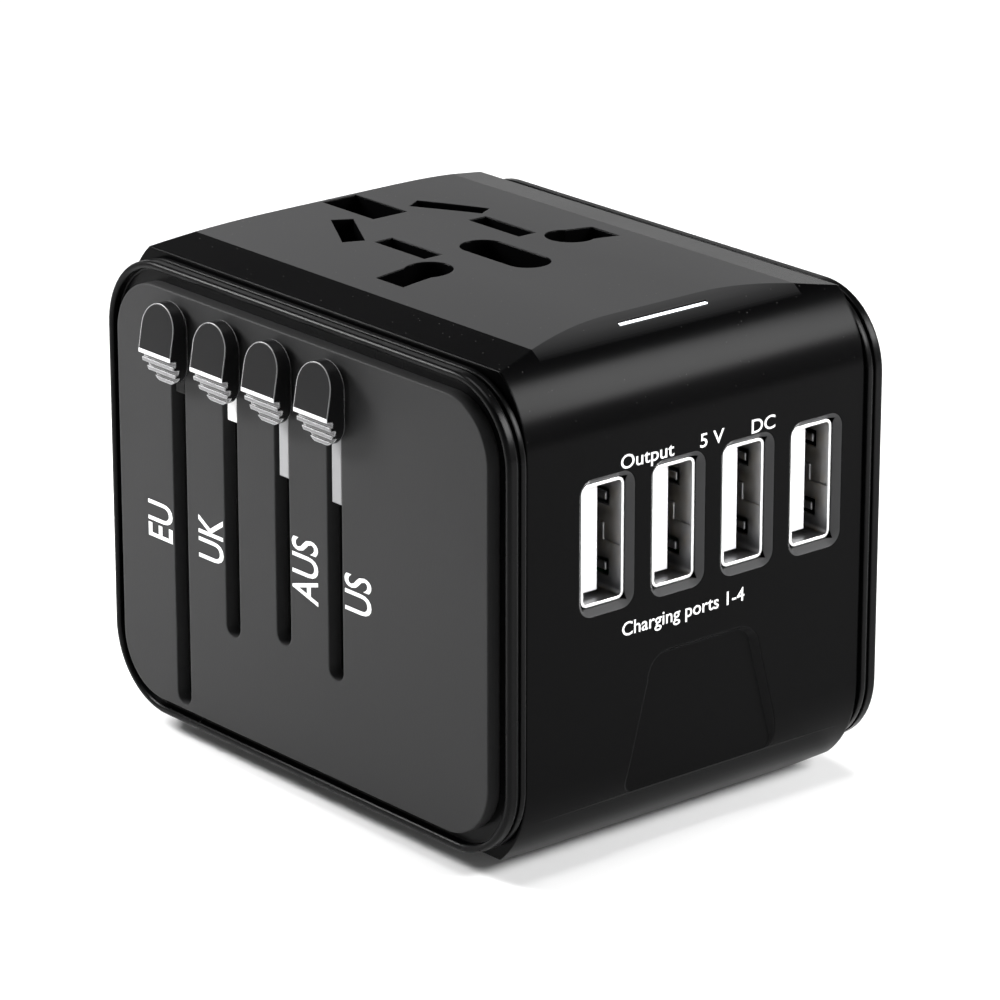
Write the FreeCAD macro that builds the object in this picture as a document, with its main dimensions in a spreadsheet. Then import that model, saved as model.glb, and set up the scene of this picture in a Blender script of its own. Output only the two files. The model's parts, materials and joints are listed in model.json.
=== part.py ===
import FreeCAD, Part
import math
import os
import re
import Sketcher
from FreeCAD import Rotation, Vector

# Universal travel adapter, millimetres.
# Frame: origin on the plug face, +Z up to the socket face, +X to the USB face, -Y to the slider face.

doc = FreeCAD.newDocument("travel_adapter")

DIMENSIONS = {
    # outer casing
    "body_length": 65.0,
    "body_depth": 45.2,
    "body_height": 54.8,
    "body_corner": 11.5,
    "crown_cut": 0.9,
    "crown_flat": 12.0,
    "crown_half": 17.5,
    "crease_drop": 0.9,
    "edge_drop": 1.8,
    "wall": 2.3,
    "cavity_height": 48.0,
    "cavity_corner": 6.5,
    # covers and plates, on both sides of the casing
    "cover_length": 65.6,
    "cover_height": 50.3,
    "cover_corner": 8.5,
    "cover_depth": 2.5,
    "neck_inset": 0.7,
    "neck_gap": 0.35,
    "band_depth": 0.6,
    "waist_inset": 0.4,
    "waist_gap": 0.45,
    "bead_round": 0.35,
    "plate_length": 60.4,
    "plate_height": 46.0,
    "plate_corner": 6.4,
    "plate_thick": 1.6,
    "plate_proud": 0.6,
    "side_channel": 1.8,
    "end_channel": 1.3,
    # sliders: slot lines, knob height and travels
    "slot_width": 2.4,
    "knob_z": 45.3,
    "eu_line": -19.7,
    "uk_line": -10.9,
    "aus_line": -2.3,
    "us_line": 6.3,
    "eu_tail": 39.7,
    "uk_tail": 38.8,
    "aus_tail": 35.0,
    "us_tail": 34.4,
    "eu_travel": 34.0,
    "uk_travel": 23.0,
    "aus_travel": 17.6,
    "us_travel": 18.4,
    "knob_width": 5.4,
    "knob_height": 8.8,
    "knob_depth": 2.3,
    "knob_gap": 0.7,
    # plug pins
    "floor": 3.4,
    "eu_pin_x": -23.0,
    "eu_pitch": 19.0,
    "eu_pin_dia": 4.0,
    "eu_pin_long": 19.0,
    "uk_pin_x": -12.5,
    "uk_pitch": 22.2,
    "uk_wide": 6.35,
    "uk_thick": 4.0,
    "uk_pin_long": 17.7,
    "uk_earth_wide": 8.0,
    "uk_earth_long": 22.7,
    "aus_pin_x": -3.5,
    "aus_pitch": 13.8,
    "aus_angle": 30.0,
    "us_pin_x": 4.5,
    "us_pitch": 12.7,
    "blade_wide": 6.35,
    "blade_thick": 1.6,
    "aus_pin_long": 17.1,
    "us_pin_long": 17.5,
    # socket face
    "key_x": 1.6,
    "key_pitch": 19.0,
    "key_dia": 5.2,
    "key_slot": 4.4,
    "key_reach": 14.6,
    "earth_slot_long": 8.7,
    "earth_slot_wide": 4.6,
    "us_slot_x": -5.5,
    "us_slot_long": 8.2,
    "us_slot_wide": 2.4,
    "aus_slot_x": -14.8,
    "round_slot_x": 2.5,
    "round_slot_long": 12.0,
    "round_slot_wide": 4.9,
    "light_x": 26.8,
    "light_long": 11.8,
    "light_wide": 0.5,
    # USB ports
    "usb_first_y": -12.2,
    "usb_pitch": 9.4,
    "usb_z": 34.0,
    "usb_shell_high": 12.8,
    "usb_shell_wide": 5.6,
    "usb_shell_wall": 0.3,
    "usb_shell_corner": 0.8,
    "usb_shell_long": 14.2,
    "usb_bevel": 0.7,
    "usb_tongue_high": 11.1,
    "usb_tongue_thick": 1.8,
    "usb_tongue_back": 1.7,
    # finger recess under the ports
    "grip_y": 1.0,
    "grip_depth": 0.8,
    "grip_bevel": 0.6,
    # fuse drawer in the rear
    "fuse_dia": 6.3,
    "fuse_long": 25.4,
    "drawer_long": 29.0,
    "drawer_high": 9.0,
    "drawer_z": 41.4,
}

sheet = doc.addObject("Spreadsheet::Sheet", "dims")
for row, (alias, number) in enumerate(DIMENSIONS.items(), start=1):
    sheet.set(f"A{row}", alias)
    sheet.set(f"B{row}", str(number))
    sheet.setAlias(f"B{row}", alias)
doc.recompute()


def size(alias):
    """The number that one cell of the sheet holds."""
    return float(sheet.get(alias))


def bound(text):
    """The text as an expression on the sheet: each alias in it is read from its cell."""
    def cell(match):
        word = match.group(0)
        return f"dims.{word}" if word in DIMENSIONS else word
    return re.sub(r"[a-z_]+", cell, str(text))


AXIS_TURN = {
    "x": Rotation(Vector(0, 1, 0), 90),
    "y": Rotation(Vector(1, 0, 0), -90),
    "z": Rotation(),
}
PIECES = []


def place(obj, x, y, z):
    """Put the object's own origin at three expressions."""
    obj.setExpression(".Placement.Base.x", bound(x))
    obj.setExpression(".Placement.Base.y", bound(y))
    obj.setExpression(".Placement.Base.z", bound(z))


def box(label, x, y, z):
    """A block between a low and a high expression on each axis."""
    obj = doc.addObject("Part::Box", label)
    obj.setExpression("Length", bound(f"({x[1]}) - ({x[0]})"))
    obj.setExpression("Width", bound(f"({y[1]}) - ({y[0]})"))
    obj.setExpression("Height", bound(f"({z[1]}) - ({z[0]})"))
    place(obj, x[0], y[0], z[0])
    return obj


def centred_box(label, centre, spans):
    """A block of three spans about a centre, all expressions."""
    ranges = [(f"({c}) - ({s}) / 2", f"({c}) + ({s}) / 2") for c, s in zip(centre, spans)]
    return box(label, *ranges)


def turned_box(label, centre, long, wide, angle, z):
    """A block whose long side is turned about Z by an angle, for the slanted blades and slots."""
    obj = doc.addObject("Part::Box", label)
    obj.setExpression("Length", bound(long))
    obj.setExpression("Width", bound(wide))
    obj.setExpression("Height", bound(f"({z[1]}) - ({z[0]})"))
    obj.Placement.Rotation = Rotation(Vector(0, 0, 1), 30)
    obj.setExpression(".Placement.Rotation.Angle", bound(angle))
    back_x = f"({centre[0]}) - ({long}) / 2 * cos({angle}) + ({wide}) / 2 * sin({angle})"
    back_y = f"({centre[1]}) - ({long}) / 2 * sin({angle}) - ({wide}) / 2 * cos({angle})"
    place(obj, back_x, back_y, z[0])
    return obj


def cylinder(label, radius, length, base, axis="z"):
    """A round bar that starts at base and runs along +axis."""
    obj = doc.addObject("Part::Cylinder", label)
    obj.setExpression("Radius", bound(radius))
    obj.setExpression("Height", bound(length))
    obj.Placement.Rotation = AXIS_TURN[axis]
    place(obj, *base)
    return obj


def fuse(label, *shapes):
    """One solid out of several that touch."""
    obj = doc.addObject("Part::MultiFuse", label)
    obj.Shapes = list(shapes)
    obj.Refine = True
    return obj


def cut(label, base, *tools):
    """The base less every tool."""
    obj = doc.addObject("Part::Cut", label)
    obj.Base = base
    obj.Tool = tools[0] if len(tools) == 1 else fuse(f"{label}_tools", *tools)
    obj.Refine = True
    return obj


def group(label, *solids):
    """Several separate solids that share one node."""
    obj = doc.addObject("Part::Compound", label)
    obj.Links = list(solids)
    return obj


def piece(obj):
    """Mark the object as a sub-part that is written to its own file."""
    PIECES.append(obj)
    return obj


def origin_plane(body, role):
    return next(item for item in body.Origin.OriginFeatures if item.Role == role)


def sketch_on(body, name, role, offset):
    """An empty sketch on one of the body's own planes, moved along that plane's normal."""
    sketch = body.newObject("Sketcher::SketchObject", name)
    sketch.AttachmentSupport = [(origin_plane(body, role), "")]
    sketch.MapMode = "FlatFace"
    sketch.setExpression(".AttachmentOffset.Base.z", bound(offset))
    return sketch


def outline(sketch, corners):
    """A closed outline of straight sides; a corner given as a pair (point, point) starts an arc
    through the first point that ends at the second."""
    start = corners[0]
    here = start
    joints = []
    ends_at_start = isinstance(corners[-1][0], tuple) and corners[-1][1] == start
    for corner in list(corners[1:]) + ([] if ends_at_start else [start]):
        if isinstance(corner[0], tuple):
            through, end = corner
            curve = Part.Arc(Vector(*here, 0), Vector(*through, 0), Vector(*end, 0))
        else:
            end = corner
            curve = Part.LineSegment(Vector(*here, 0), Vector(*end, 0))
        edge = sketch.addGeometry(curve, False)
        forward = sketch.getPoint(edge, 1).distanceToPoint(Vector(*here, 0)) < 1e-6
        joints.append((edge, 1, 2) if forward else (edge, 2, 1))
        here = end
    for (edge, _, last), (following, first, _) in zip(joints, joints[1:] + joints[:1]):
        sketch.addConstraint(Sketcher.Constraint("Coincident", edge, last, following, first))


def rounded_rectangle(sketch, width, height, radius, middle):
    """A rectangle with four round corners, centred on x = 0 and y = middle, held by constraints."""
    half_w, half_h = 20.0, 15.0
    turn = 4.0
    level = 27.0
    centres = [
        (half_w - turn, level - half_h + turn, -90),
        (half_w - turn, level + half_h - turn, 0),
        (-half_w + turn, level + half_h - turn, 90),
        (-half_w + turn, level - half_h + turn, 180),
    ]
    for cx, cy, angle in centres:
        circle = Part.Circle(Vector(cx, cy, 0), Vector(0, 0, 1), turn)
        start = math.radians(angle)
        sketch.addGeometry(Part.ArcOfCircle(circle, start, start + math.pi / 2), False)
    for corner in range(4):
        after = (corner + 1) % 4
        first = sketch.getPoint(corner, 2)
        last = sketch.getPoint(after, 1)
        side = sketch.addGeometry(Part.LineSegment(first, last), False)
        sketch.addConstraint(Sketcher.Constraint("Tangent", corner, 2, side, 1))
        sketch.addConstraint(Sketcher.Constraint("Tangent", side, 2, after, 1))
    sketch.addConstraint(Sketcher.Constraint("Vertical", 4))
    sketch.addConstraint(Sketcher.Constraint("Vertical", 6))
    sketch.addConstraint(Sketcher.Constraint("Horizontal", 5))
    sketch.addConstraint(Sketcher.Constraint("Horizontal", 7))
    for corner in (1, 2, 3):
        sketch.addConstraint(Sketcher.Constraint("Equal", 0, corner))
    sizes = [
        ("Radius", (0, turn), "turn", radius),
        ("DistanceX", (2, 3, 1, 3, 2 * half_w - 2 * turn), "across", f"{width} - 2 * ({radius})"),
        ("DistanceY", (0, 3, 1, 3, 2 * half_h - 2 * turn), "upright", f"{height} - 2 * ({radius})"),
        ("DistanceX", (-1, 1, 1, 3, half_w - turn), "right", f"({width}) / 2 - ({radius})"),
        ("DistanceY", (-1, 1, 1, 3, level), "top", f"{middle} + ({height}) / 2 - ({radius})"),
    ]
    for kind, values, name, expression in sizes:
        index = sketch.addConstraint(Sketcher.Constraint(kind, *values))
        sketch.renameConstraint(index, name)
        sketch.setExpression(f"Constraints.{name}", bound(expression))


def pad(body, name, sketch, length):
    feature = body.newObject("PartDesign::Pad", name)
    feature.Profile = sketch
    feature.setExpression("Length", bound(length))
    body.Tip = feature
    doc.recompute()
    return feature


def slab(body, name, near, thick, width, height, radius, side=-1):
    """A rounded slab that stands across Y: from y = side * near outwards by thick."""
    sketch = sketch_on(body, f"{name}_outline", "XZ_Plane", near if side < 0 else f"0 - ({near}) - ({thick})")
    rounded_rectangle(sketch, width, height, radius, "body_height / 2")
    return pad(body, name, sketch, thick)


def pocket(body, name, sketch, length, reverse=False):
    """A pocket, which has to take material away."""
    before = body.Shape.Volume
    feature = body.newObject("PartDesign::Pocket", name)
    feature.Profile = sketch
    feature.Reversed = reverse
    feature.setExpression("Length", bound(length))
    body.Tip = feature
    doc.recompute()
    if feature.Shape.Volume > before - 1:
        raise RuntimeError(f"{name} cut nothing")
    return feature


def round_edges(body, name, radius, wanted):
    """A fillet on every edge of the tip that the test picks."""
    tip = body.Tip
    names = [f"Edge{i}" for i, edge in enumerate(tip.Shape.Edges, start=1) if wanted(edge)]
    feature = body.newObject("PartDesign::Fillet", name)
    feature.Base = (tip, names)
    feature.setExpression("Radius", bound(radius))
    body.Tip = feature
    doc.recompute()
    return feature


def body_section(sketch):
    """The casing's section across X: a crowned top and bottom, with a facet along each rim."""
    top = size("body_height")
    flat = size("crown_flat") / 2
    crease = size("crown_half")
    rim = size("body_depth") / 2
    drop = size("crease_drop")
    edge = size("edge_drop")
    run = crease - flat
    radius = (run**2 + drop**2) / (2 * drop)
    middle = flat + run / 2
    sag = radius - math.sqrt(radius**2 - (run / 2) ** 2)
    outline(sketch, [
        (flat, top),
        ((middle, top - sag), (crease, top - drop)),
        (rim, top - edge),
        (rim, edge),
        (crease, drop),
        ((middle, sag), (flat, 0)),
        (-flat, 0),
        ((-middle, sag), (-crease, drop)),
        (-rim, edge),
        (-rim, top - edge),
        (-crease, top - drop),
        ((-middle, top - sag), (-flat, top)),
    ])


def body_blank():
    """The casing without its openings: a rounded block cut to the crowned section.
    The block is taller than the section, so its round ends meet the crown at a crease."""
    block = doc.addObject("PartDesign::Body", "casing_block")
    tall = "body_height + 2 * crown_cut"
    slab(block, "block", "0 - body_depth / 2", "body_depth", "body_length", tall, "body_corner")
    section = doc.addObject("PartDesign::Body", "casing_section")
    sketch = sketch_on(section, "section", "YZ_Plane", "0 - body_length / 2")
    body_section(sketch)
    pad(section, "crown", sketch, "body_length")
    cavity = doc.addObject("PartDesign::Body", "casing_cavity")
    wide = "body_length - 2 * wall"
    slab(cavity, "cavity", "0 - body_depth / 2 - 1", "body_depth + 2", wide, "cavity_height", "cavity_corner")
    blank = doc.addObject("Part::MultiCommon", "casing_blank")
    blank.Shapes = [block, section]
    return cut("casing_sleeve", blank, cavity)


def obround(label, x, y, long, wide, z):
    """A slot with round ends, long along X."""
    half = f"(({long}) - ({wide})) / 2"
    deep = f"({z[1]}) - ({z[0]})"
    across = (f"{y} - {wide} / 2", f"{y} + {wide} / 2")
    middle = box(f"{label}_middle", (f"{x} - {half}", f"{x} + {half}"), across, z)
    ends = [cylinder(f"{label}_end_{i}", f"{wide} / 2", deep, (f"{x} + ({k}) * {half}", y, z[0]))
            for i, k in enumerate((-1, 1))]
    return fuse(label, middle, *ends)


def socket_cutters():
    """The openings in the socket face for the plugs that the adapter accepts."""
    deep = ("body_height - 6", "body_height + 1")
    tools = []
    for name, k in (("neutral", -1), ("line", 1)):
        pin_at = ("key_x", f"({k}) * key_pitch / 2", deep[0])
        round_hole = cylinder(f"{name}_round_hole", "key_dia / 2", "7", pin_at)
        near, far = ("key_pitch / 2", "key_reach") if k > 0 else ("0 - key_reach", "0 - key_pitch / 2")
        along = ("key_x - key_slot / 2", "key_x + key_slot / 2")
        flat_hole = box(f"{name}_flat_hole", along, (near, far), deep)
        blade_hole = centred_box(
            f"{name}_blade_hole",
            ("us_slot_x", f"({k}) * us_pitch / 2", "body_height - 2"),
            ("us_slot_long", "us_slot_wide", "8"))
        slanted = turned_box(
            f"{name}_slanted_hole", ("aus_slot_x", f"({k}) * aus_pitch / 2"),
            "us_slot_long", "us_slot_wide", f"({k}) * aus_angle", deep)
        tools += [round_hole, flat_hole, blade_hole, slanted]
    tools.append(centred_box(
        "earth_hole", ("key_x - uk_pitch", "0", "body_height - 2"),
        ("earth_slot_long", "earth_slot_wide", "8")))
    tools.append(obround("round_earth_hole", "round_slot_x", "0", "round_slot_long", "round_slot_wide", deep))
    return tools


def plug_cutters():
    """The holes in the plug face that the four sets of pins come out of."""
    deep = ("-1", "floor + 1")
    tools = [box("eu_hole", ("eu_pin_x - 3.6", "eu_pin_x + 3.6"), ("-13.8", "13.8"), deep)]
    tools.append(centred_box("uk_earth_hole", ("uk_pin_x + uk_pitch", "0", "1"),
                             ("uk_earth_wide + 0.4", "uk_thick + 0.4", "8")))
    for name, k in (("neutral", -1), ("line", 1)):
        tools.append(centred_box(
            f"uk_{name}_hole", ("uk_pin_x", f"({k}) * uk_pitch / 2", "1"),
            ("uk_thick + 0.4", "uk_wide + 0.4", "8")))
        tools.append(centred_box(
            f"us_{name}_hole", ("us_pin_x", f"({k}) * us_pitch / 2", "1"),
            ("blade_wide + 0.4", "blade_thick + 0.4", "8")))
        tools.append(turned_box(
            f"aus_{name}_hole", ("aus_pin_x", f"({k}) * aus_pitch / 2"),
            "blade_wide + 0.4", "blade_thick + 0.4", f"({k}) * aus_angle", deep))
    return tools


def usb_y(port):
    return f"usb_first_y + {port} * usb_pitch"


def bevelled_mouth(label, y, bottom_x, run):
    """A cutter with round corners that widens by its own depth as it comes out of the USB face."""
    tool = doc.addObject("PartDesign::Body", label)
    sections = []
    for name, x, grow in (("bottom", bottom_x, "0"), ("mouth", f"{bottom_x} + {run}", run),
                          ("outside", f"{bottom_x} + 2 * {run}", run)):
        sketch = sketch_on(tool, f"{label}_{name}", "YZ_Plane", x)
        rounded_rectangle(sketch, f"usb_shell_wide + 0.2 + 2 * {grow}", f"usb_shell_high + 0.2 + 2 * {grow}",
                          f"usb_shell_corner + 0.1 + {grow}", "usb_z")
        sections.append(sketch)
    loft = tool.newObject("PartDesign::AdditiveLoft", f"{label}_bevel")
    loft.Profile = sections[0]
    loft.Sections = sections[1:]
    loft.Ruled = True
    tool.Tip = loft
    tool.setExpression(".Placement.Base.y", bound(y))
    return tool


def usb_cutters():
    """A way through the USB face for each port, with a bevel round its mouth."""
    tools = []
    for port in range(4):
        tools.append(centred_box(
            f"usb_hole_{port}", ("body_length / 2", usb_y(port), "usb_z"),
            ("10", "usb_shell_wide + 0.2", "usb_shell_high + 0.2")))
        bottom = "body_length / 2 - usb_bevel"
        tools.append(bevelled_mouth(f"usb_mouth_{port}", usb_y(port), bottom, "usb_bevel"))
    return tools


def grip_outline(sketch, grow):
    """The finger recess: narrow at the top and wide, with a bowed edge, at the bottom."""
    y = size("grip_y")
    outline(sketch, [
        (y - 5.0, 20.4 + grow),
        (y + 5.0, 20.4 + grow),
        ((y + 6.3 + 0.7 * grow, 19.8 + 0.7 * grow), (y + 7.0 + grow, 18.2)),
        (y + 9.8 + grow, 8.0),
        ((y + 9.7 + 0.7 * grow, 6.8 - 0.7 * grow), (y + 8.6, 6.2 - grow)),
        ((y, 5.2 - grow), (y - 8.6, 6.2 - grow)),
        ((y - 9.7 - 0.7 * grow, 6.8 - 0.7 * grow), (y - 9.8 - grow, 8.0)),
        (y - 7.0 - grow, 18.2),
        ((y - 6.3 - 0.7 * grow, 19.8 + 0.7 * grow), (y - 5.0, 20.4 + grow)),
    ])


def grip_cutter():
    """The shallow finger recess with its bevelled edge."""
    tool = doc.addObject("PartDesign::Body", "grip_cutter")
    bevel = size("grip_bevel")
    sections = []
    for name, x, grow in (("floor", "0 - grip_depth", 0.0), ("rim", "0", bevel), ("outside", "1", bevel)):
        sketch = sketch_on(tool, f"grip_{name}", "YZ_Plane", f"body_length / 2 + {x}")
        grip_outline(sketch, grow)
        sections.append(sketch)
    loft = tool.newObject("PartDesign::AdditiveLoft", "grip_recess")
    loft.Profile = sections[0]
    loft.Sections = sections[1:]
    loft.Ruled = True
    tool.Tip = loft
    return tool


SCREW_SPOTS = [(x, z) for x in (-26.2, 26.2) for z in (7.8, 47.0)]
SCREW_HEAD_Y = "body_depth / 2 + cover_depth - plate_thick + plate_proud - 1.0"


def make_body_shell():
    sleeve = body_blank()
    bosses = []
    bores = []
    for side, start, out in (("front", "0 - body_depth / 2", 1), ("rear", "body_depth / 2", -1)):
        for i, (x, z) in enumerate(SCREW_SPOTS):
            low = start if out > 0 else f"{start} - 8"
            bosses.append(cylinder(f"{side}_boss_{i}", "3.6", "8", (x, low, z), "y"))
            rib = (f"{x}", "body_length / 2 - 1") if x > 0 else ("1 - body_length / 2", f"{x}")
            bosses.append(box(f"{side}_boss_rib_{i}", rib, (low, f"{low} + 8"), (f"{z} - 0.8", f"{z} + 0.8")))
            bores.append(cylinder(f"{side}_boss_bore_{i}", "1.05", "8", (x, low, z), "y"))
    solid = fuse("casing_with_bosses", sleeve, *bosses)
    light = box("light_hole", ("light_x - light_wide / 2", "light_x + light_wide / 2"),
                ("0 - light_long / 2", "light_long / 2"), ("body_height - 8", "body_height + 1"))
    tools = socket_cutters() + plug_cutters() + usb_cutters() + [grip_cutter(), light] + bores
    piece(cut("body_shell", solid, *tools))


# Each slider: its slot line, its tail's lowest point and its travel.
SLIDERS = {
    name: {"line": f"{name}_line", "tail": f"{name}_tail", "travel": f"{name}_travel"}
    for name in ("eu", "uk", "aus", "us")
}


def slot_cutters(side):
    """The four upright slots of the slider face, each as long as its knob's travel needs."""
    tools = []
    deep = ("0 - body_depth / 2 - cover_depth - 1", "0 - body_depth / 2 + 1")
    for name, slider in SLIDERS.items():
        line = slider["line"]
        low = f"{slider['tail']} - {slider['travel']} - 0.75"
        high = "knob_z + 3.0"
        tools.append(box(
            f"{name}_slot_{side}",
            (f"{line} - slot_width / 2", f"{line} + slot_width / 2"), deep,
            (f"{low} + slot_width / 2", high)))
        tools.append(cylinder(
            f"{name}_slot_foot_{side}", "slot_width / 2", "cover_depth + 2",
            (line, deep[0], f"{low} + slot_width / 2"), "y"))
    return tools


def drawer_cutter(label, margin):
    """The opening for the fuse drawer in the rear cover and plate."""
    return box(
        label,
        (f"0 - drawer_long / 2 - {margin}", f"drawer_long / 2 + {margin}"),
        ("body_depth / 2 - 1", "body_depth / 2 + cover_depth + 1"),
        (f"drawer_z - drawer_high / 2 - {margin}", f"drawer_z + drawer_high / 2 + {margin}"))


def make_cover(label, side):
    """One end cover: a band, a shadow groove and a rounded bead round the recess for its plate."""
    cover = doc.addObject("PartDesign::Body", f"{label}_blank")
    waist = "neck_gap + band_depth"
    bead = f"{waist} + waist_gap"
    steps = [
        ("neck", "0", "neck_gap", "neck_inset"),
        ("band", "neck_gap", "band_depth", "0"),
        ("waist", waist, "waist_gap", "waist_inset"),
        ("bead", bead, f"cover_depth - ({bead})", "0"),
    ]
    for name, start, thick, inset in steps:
        slab(cover, f"{label}_{name}", f"body_depth / 2 + {start}", thick, f"cover_length - 2 * {inset}",
             f"cover_height - 2 * {inset}", f"cover_corner - {inset}", side)
    face = side * (size("body_depth") / 2 + size("cover_depth"))
    recess = sketch_on(cover, f"{label}_recess_outline", "XZ_Plane",
                       "body_depth / 2 + cover_depth" if side < 0 else "0 - body_depth / 2 - cover_depth")
    rounded_rectangle(recess, "plate_length + 2 * side_channel", "plate_height + 2 * end_channel",
                      "plate_corner + end_channel", "body_height / 2")
    pocket(cover, f"{label}_recess", recess, "plate_thick - plate_proud", reverse=side > 0)
    round_edges(cover, f"{label}_bead_round", "bead_round",
                lambda edge: abs(edge.BoundBox.YMin - face) < 1e-4 and abs(edge.BoundBox.YMax - face) < 1e-4)
    tools = []
    for i, (x, z) in enumerate(SCREW_SPOTS):
        low = "body_depth / 2 - 1" if side > 0 else "0 - body_depth / 2 - 2"
        tools.append(cylinder(f"{label}_screw_hole_{i}", "1.2", "3", (x, low, z), "y"))
        sink = SCREW_HEAD_Y if side > 0 else f"0 - ({SCREW_HEAD_Y}) - 1.2"
        tools.append(cylinder(f"{label}_screw_sink_{i}", "2.2", "1.2", (x, sink, z), "y"))
    if side < 0:
        tools += slot_cutters("cover")
    else:
        tools.append(drawer_cutter("cover_drawer_hole", "0.2"))
    piece(cut(label, cover, *tools))


def make_plate(label, side):
    """The flat plate in a cover's recess."""
    plate = doc.addObject("PartDesign::Body", f"{label}_blank")
    slab(plate, f"{label}_slab", "body_depth / 2 + cover_depth + plate_proud - plate_thick", "plate_thick",
         "plate_length", "plate_height", "plate_corner", side)
    tools = slot_cutters("plate") if side < 0 else [drawer_cutter("plate_drawer_hole", "0.2")]
    piece(cut(label, plate, *tools))


def make_screws():
    """The eight screws that hold the covers to the casing, hidden under the plates."""
    screws = []
    for side, k in (("front", -1), ("rear", 1)):
        for i, (x, z) in enumerate(SCREW_SPOTS):
            head_low = SCREW_HEAD_Y if k > 0 else f"0 - ({SCREW_HEAD_Y}) - 0.9"
            shank_low = f"{SCREW_HEAD_Y} - 7" if k > 0 else f"0 - ({SCREW_HEAD_Y})"
            head = cylinder(f"{side}_screw_head_{i}", "2.0", "0.9", (x, head_low, z), "y")
            shank = cylinder(f"{side}_screw_shank_{i}", "1.0", "7", (x, shank_low, z), "y")
            screws.append(fuse(f"{side}_screw_{i}", head, shank))
    piece(group("cover_screws", *screws))


def make_light_bar():
    bar = box("light_lens", ("light_x - light_wide / 2 + 0.05", "light_x + light_wide / 2 - 0.05"),
              ("0 - light_long / 2 + 0.05", "light_long / 2 - 0.05"), ("49", "body_height - 0.7"))
    foot = box("light_foot", ("light_x - 1.2", "light_x + 1.2"),
               ("0 - light_long / 2 - 0.8", "light_long / 2 + 0.8"), ("48.0", "49.6"))
    piece(fuse("led_light_bar", bar, foot))


def make_usb_port(port):
    """One receptacle: a folded metal shell with a closed back, and the plastic tongue inside it."""
    mouth = "body_length / 2 - usb_bevel"
    back = f"{mouth} - usb_shell_long"
    shell = doc.addObject("PartDesign::Body", f"usb_shell_{port}_blank")
    outer = sketch_on(shell, f"usb_shell_{port}_outer", "YZ_Plane", back)
    rounded_rectangle(outer, "usb_shell_wide", "usb_shell_high", "usb_shell_corner", "usb_z")
    pad(shell, f"usb_shell_{port}_tube", outer, "usb_shell_long")
    inner = sketch_on(shell, f"usb_shell_{port}_inner", "YZ_Plane", f"{back} + 1")
    rounded_rectangle(inner, "usb_shell_wide - 2 * usb_shell_wall", "usb_shell_high - 2 * usb_shell_wall",
                      "usb_shell_corner - usb_shell_wall", "usb_z")
    pocket(shell, f"usb_shell_{port}_hollow", inner, "usb_shell_long", reverse=True)
    shell.setExpression(".Placement.Base.y", bound(usb_y(port)))
    wall = f"{usb_y(port)} + usb_shell_wide / 2"
    through = (f"{wall} - usb_shell_wall - 0.2", f"{wall} + 0.2")
    half_way = (f"{wall} - usb_shell_wall - 0.2", f"{wall} - usb_shell_wall / 2")
    tools = []
    for i, k in enumerate((-1, 1)):
        z = f"usb_z + ({k}) * 3.7"
        slits = [
            ("end", (f"{mouth} - 2.4", f"{mouth} - 1.9"), (f"{z} - 0.9", f"{z} + 0.9")),
            ("low", (f"{mouth} - 5.0", f"{mouth} - 2.1"), (f"{z} - 0.9", f"{z} - 0.4")),
            ("high", (f"{mouth} - 5.0", f"{mouth} - 2.1"), (f"{z} + 0.4", f"{z} + 0.9")),
        ]
        tools += [box(f"usb_{port}_tab_{i}_{name}", x, through, z_range) for name, x, z_range in slits]
    seam = [
        ("inside", (f"{mouth} - 6", f"{mouth} - 2.6"), ("usb_z + 0.8", "usb_z + 0.95")),
        ("step", (f"{mouth} - 2.75", f"{mouth} - 2.6"), ("usb_z - 0.95", "usb_z + 0.95")),
        ("outside", (f"{mouth} - 2.75", f"{mouth} - 0.3"), ("usb_z - 0.95", "usb_z - 0.8")),
    ]
    tools += [box(f"usb_{port}_seam_{name}", x, half_way, z_range) for name, x, z_range in seam]
    piece(cut(f"usb_shell_{port + 1}", shell, *tools))
    piece(box(
        f"usb_tongue_{port + 1}", (f"{back} + 1", f"{mouth} - usb_tongue_back"),
        (f"{usb_y(port)} - 1.05", f"{usb_y(port)} - 1.05 + usb_tongue_thick"),
        ("usb_z - usb_tongue_high / 2", "usb_z + usb_tongue_high / 2")))


def make_usb_contacts():
    """Four spring strips on each tongue."""
    strips = []
    for port in range(4):
        face = f"{usb_y(port)} - 1.05 + usb_tongue_thick"
        for i in range(4):
            z = f"usb_z + ({i} - 1.5) * 2.3"
            strips.append(box(
                f"usb_contact_{port}_{i}", ("body_length / 2 - 10", "body_length / 2 - 3.2"),
                (face, f"{face} + 0.2"), (f"{z} - 0.6", f"{z} + 0.6")))
    piece(group("usb_contacts", *strips))


def make_electronics():
    """The charger: a board behind the ports and a board under them with its transformer."""
    back = "body_length / 2 - usb_bevel - usb_shell_long"
    piece(box("usb_board", (f"{back} - 1.6", back), ("-20", "20"), ("19", "43")))
    piece(box("power_board", (f"{back}", "29.9"), ("-20", "20"), ("17.4", "19")))
    core = box("transformer_core", ("19.4", "28.6"), ("-6", "6"), ("6.4", "17.4"))
    coil = box("transformer_coil", ("18.6", "29.4"), ("-4", "4"), ("7.6", "16.2"))
    piece(fuse("transformer", core, coil))
    cans = [cylinder(f"capacitor_{i}", "3.8", "11", ("24", y, "6.4")) for i, y in enumerate(("-10.3", "10.3"))]
    piece(group("capacitors", *cans))


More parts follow.
